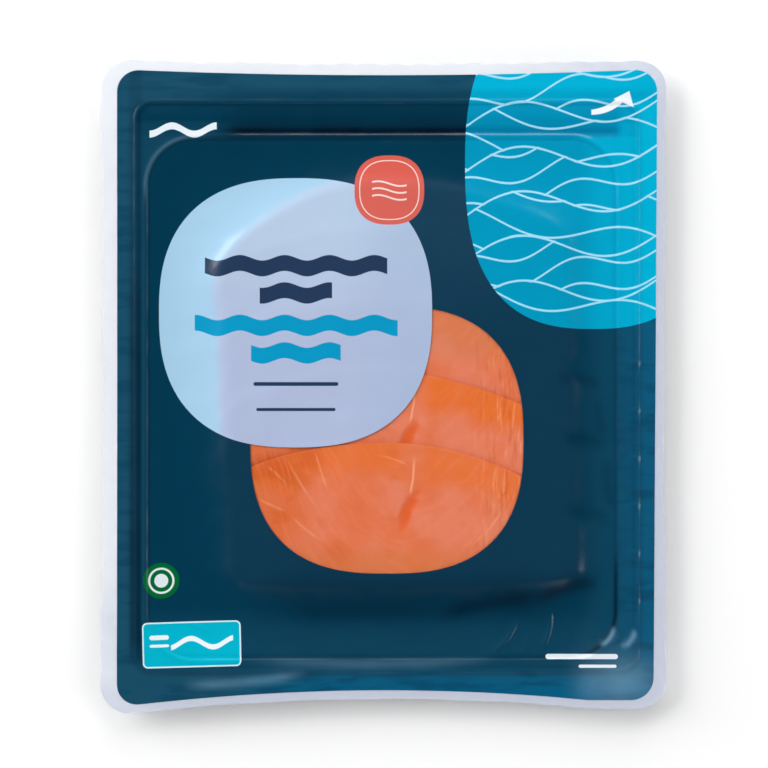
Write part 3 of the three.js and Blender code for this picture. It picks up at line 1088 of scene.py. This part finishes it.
# Flesh of one slice
def flesh_material():
    paper = Paper("salmon")
    down = depth_on_slice(paper)
    x, y = paper.place()
    wander = paper.noise(x, y, 11.0, 2.0, 3.0) - 0.5
    cloud = paper.noise(x, y, 16.0, 3.0, 0.0)
    seam_place, seam_swing, seam_wave, seam_phase = seam_line
    seam_x = x - seam_place - paper.sine(down, seam_wave, seam_phase) * seam_swing - wander * 1.5
    arc = y - seam_x * seam_x * 0.034 + wander * 8.0
    fine = paper.noise(arc * 0.8, seam_x * 0.25, 2.0, 3.0, 6.0)
    colour = flesh_bands(paper, y, down, seam_x, wander, cloud)
    colour = flesh_patches(paper, x, y, wander, colour)
    colour = paper.mix(paper.ramp(fine, 0.45, 0.75) * 0.14, colour, fish["grain"])
    seam, slit = flesh_seam(paper, down, seam_x, fine)
    colour = paper.mix(seam * 0.8, colour, fish["seam"])
    colour = paper.mix(slit * 0.85, colour, fish["slit"])
    # Painted highlight along the upper edge of each slice, over the shade of its step
    rim = 1 - paper.ramp(down, 0.15, 0.9)
    colour = paper.mix(rim * 0.16, colour, fish["rim"])
    lines = [paper.line(x, y, start, end, bend) for start, end, bend in fat_lines]
    fat = paper.inside(paper.smallest(*lines) - 0.05, 0.9) * paper.ramp(fine, 0.3, 0.5)
    colour = paper.mix(fat * 0.5, colour, fish["fat"])
    colour = flesh_streaks(paper, x, y, colour)
    paper.bump(fine + cloud + slit * -2.0 + fat * 0.4, 0.12)
    rough = 0.18 + 0.12 * fine
    return paper.finish(
        colour,
        rough,
        IOR=1.4,
        Subsurface_Weight=0.12,
        Subsurface_Radius=(0.9, 0.35, 0.2),
        Subsurface_Scale=0.002,
    )


# 1 between two levels, fading in over the first pair and out over the second
def between(value, start, full, last, end):
    return smoothstep(value, start, full) * (1 - smoothstep(value, last, end))


# How much paler the print looks where the two films are sealed together, partly painted sheen, and
# less pale in the upper band and above the top rib where painted shade lies
def pallor_and_sheen(x, y):
    sides = [y > pocket_high_y, y < pocket_low_y, x < 0]
    seal = np.select(sides, [pallor_and_sheen_top, pallor_and_sheen_bottom, pallor_and_sheen_left], pallor_and_sheen_right)
    seal = seal * (1 - between(y, *upper_band))
    moat = moat_pallor_and_sheen_right * smoothstep(x, 56, 64)
    moat = np.minimum(moat + moat_pallor_and_sheen_bottom * (1 - smoothstep(y, -72, -63)), moat_pallor_and_sheen_right)
    in_pocket = smoothstep(inside_rounded(x, y, pocket), -1, 1)
    level = seal + (moat - seal) * in_pocket
    inside = inside_rounded(x, y, rib)
    level = 1 + (level - 1) * smoothstep(inside, -1.2, 0.8)
    under_top = bump(y - 84.6, 1.2) * smoothstep(x, -60, -40)
    return level * (1 - 0.6 * under_top * (inside < 0))


def line_tones(x, y, lines):
    tones = [
        tone * along_line(x, y, start, end, width, 0.9)
        for start, end, tone, width in lines
    ]
    return sum(tones)


# Painted shade on the print: how much darker it is made in the groove along the upper seal, beside
# ribs and in folds
def deep(x, y):
    run = between(x, groove_start, groove_start + 12, groove_end - 3, groove_end)
    groove = bump(y - groove_y, groove_width)
    shade = shade_tone * between(y, *upper_shade)
    in_rib = inside_rounded(x, y, rib)
    beside = sum(tone * bump(in_rib + away, width) for away, tone, width in rib_tones)
    right_corner = smoothstep(x, 40, 62) * (1 - smoothstep(y, -56, -46))
    edge_tone = pocket_edge_tones[0] + pocket_edge_tones[1] * right_corner
    edge = edge_tone * bump(inside_rounded(x, y, pocket) - 0.5, pocket_bead_width)
    tone, level, width = window_shade
    under_window = tone * bump(y - level, width) * (1 - smoothstep(np.abs(x - 8), 30, 52))
    strip_tone = strip_tones[0] + strip_tones[1] * (1 - smoothstep(y, 10, 50))
    strip = strip_tone * between(x, *left_strip) * smoothstep(y, -82, -74)
    dark = (groove + shade) * run + beside + edge + under_window + strip
    dark = dark + line_tones(x, y, fold_shades)
    return np.clip(dark, 0, 1)


# How much the print is lightened by painted highlights at sharp bends, at the upper left of the
# pocket edge and at the lower right corner
def painted_highlights(x, y):
    tone, place_x, width_x, place_y, width_y = corner_highlight
    corner = tone * bump(x - place_x, width_x) * bump(y - place_y, width_y)
    corner = corner * smoothstep(x, 50, 60)
    edge = bump(inside_rounded(x, y, pocket) + 0.4, 0.35)
    upper_left = smoothstep(y, 52, 60) * (1 - smoothstep(x, -60, -50))
    pale = corner + upper_left_highlight * edge * upper_left + line_tones(x, y, highlight_marks)
    return np.clip(pale, 0, 1)


# Where the films carry fine relief
def has_detail(x, y):
    near_rib = np.abs(inside_rounded(x, y, rib)) < 1.4
    near_pocket = np.abs(inside_rounded(x, y, pocket)) < 1.5
    in_groove = (np.abs(y - groove_y) < 3.2) & (x > groove_start) & (x < groove_end)
    near_tick = np.abs(x - tick_x) < 2.2
    in_crease = creases_height(x, y) > 0.01
    return near_rib | near_pocket | in_groove | near_tick | in_crease


def film_pieces(fields):
    outline = pack_loop(film_step)
    printed = print_loop(print_step)
    clear = superellipse_loop(window, field_step)
    labelled = superellipse_loop(label, field_step)
    loops = [outline, printed, clear, labelled]
    plan, triangles = plan_mesh(loops, film_spacing, relief_spacing, has_detail)
    x, y = plan.T
    outside_pocket = 1 - smoothstep(inside_rounded(x, y, pocket), 1.5, 2.5)
    relief = embossing(x, y) * outside_pocket
    height = sample(fields["film"], x, y) + relief + creases_height(x, y)
    middles = plan[triangles].mean(axis=1)
    seen = inside_loop(middles, clear) & ~inside_loop(middles, labelled)
    kinds = np.where(inside_loop(middles, printed), np.where(seen, 1, 0), 2)
    materials = [
        print_material(),
        clear_material("clear_window"),
        clear_material("clear_margin"),
    ]
    top = sheet_object("top_film_skin", plan, triangles, height, height + film, kinds, materials)
    contact = sample(fields["contact"], x, y)
    # Zones on the film: seal pallor with painted sheen, contact with the fish, painted shade and
    # painted highlights
    paint(top, "zones", pallor_and_sheen(x, y), contact, deep(x, y), painted_highlights(x, y))
    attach(top, "root")
    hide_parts("top_film")

    in_pocket = inside_rounded(x, y, pocket)
    height = sample(fields["below"], x, y) + relief * (1 - smoothstep(in_pocket, -0.2, 1.5))
    milky = clear_material("milky_film")
    kinds = np.zeros(len(triangles), int)
    bottom = sheet_object(
        "bottom_film_skin", plan, triangles, height - film, height, kinds, [milky]
    )
    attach(bottom, "root")
    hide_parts("bottom_film")


def slice_pieces():
    flesh = flesh_material()
    for number, node in enumerate(slice_names):
        plan, triangles = plan_mesh([slice_loop(number, flesh_step)], flesh_spacing)
        x, y = plan.T
        under = slice_level(x, y, number, number)
        over = np.maximum(slice_top(x, y, number), under + 0.1)
        kinds = np.zeros(len(triangles), int)
        name = "flesh_" + node.rsplit("_", 1)[1]
        piece = sheet_object(name, plan, triangles, under, over, kinds, [flesh])
        layer = piece.data.uv_layers.new(name="slice")
        corners = np.zeros(len(piece.data.loops), np.int32)
        piece.data.loops.foreach_get("vertex_index", corners)
        both = np.column_stack([x - slice_centre(number), slice_edges(x, number)[1] - y])
        both = np.tile(both / slice_unit, (2, 1))
        layer.data.foreach_set("uv", both[corners].astype(np.float32).ravel())
        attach(piece, "root")
        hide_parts(node)


def table():
    bpy.ops.mesh.primitive_plane_add(size=floor_width)
    floor = bpy.context.object
    floor.name = "floor"
    floor.location.z = -floor_gap * MM
    paper = Paper("floor")
    floor.data.materials.append(paper.finish((floor_shade, floor_shade, floor_shade, 1), 0.9))


def area_light(name, place, size, power):
    light = bpy.data.lights.new(name, "AREA")
    light.energy = power
    light.size = size
    lamp = bpy.data.objects.new(name, light)
    lamp.location = place
    lamp.rotation_euler = (-Vector(place)).to_track_quat("-Z", "Y").to_euler()
    bpy.context.scene.collection.objects.link(lamp)


# Surroundings: a bright ring near the horizon and a dark ceiling
def surroundings():
    world = bpy.data.worlds.new("studio")
    bpy.context.scene.world = world
    world.use_nodes = True
    tree = world.node_tree
    coordinates = tree.nodes.new("ShaderNodeTexCoord")
    parts = tree.nodes.new("ShaderNodeSeparateXYZ")
    fade = tree.nodes.new("ShaderNodeMapRange")
    fade.interpolation_type = "SMOOTHSTEP"
    fade.inputs["From Min"].default_value = ring_top
    fade.inputs["From Max"].default_value = ceiling_start
    fade.inputs["To Min"].default_value = ring_strength
    fade.inputs["To Max"].default_value = ceiling_strength
    background = tree.nodes["Background"]
    background.inputs["Color"].default_value = (1, 1, 1, 1)
    tree.links.new(coordinates.outputs["Generated"], parts.inputs[0])
    tree.links.new(parts.outputs[2], fade.inputs[0])
    tree.links.new(fade.outputs[0], background.inputs["Strength"])


def camera():
    eye = bpy.data.cameras.new("camera")
    eye.lens = camera_lens
    eye.sensor_width = camera_sensor
    seen = bpy.data.objects.new("camera", eye)
    seen.location = camera_place
    bpy.context.scene.collection.objects.link(seen)
    bpy.context.scene.camera = seen


film_pieces(height_fields())
slice_pieces()
table()
surroundings()
for name, (place, size, power) in lights.items():
    area_light(name, place, size, power)
camera()
bpy.context.scene.view_settings.view_transform = "Standard"
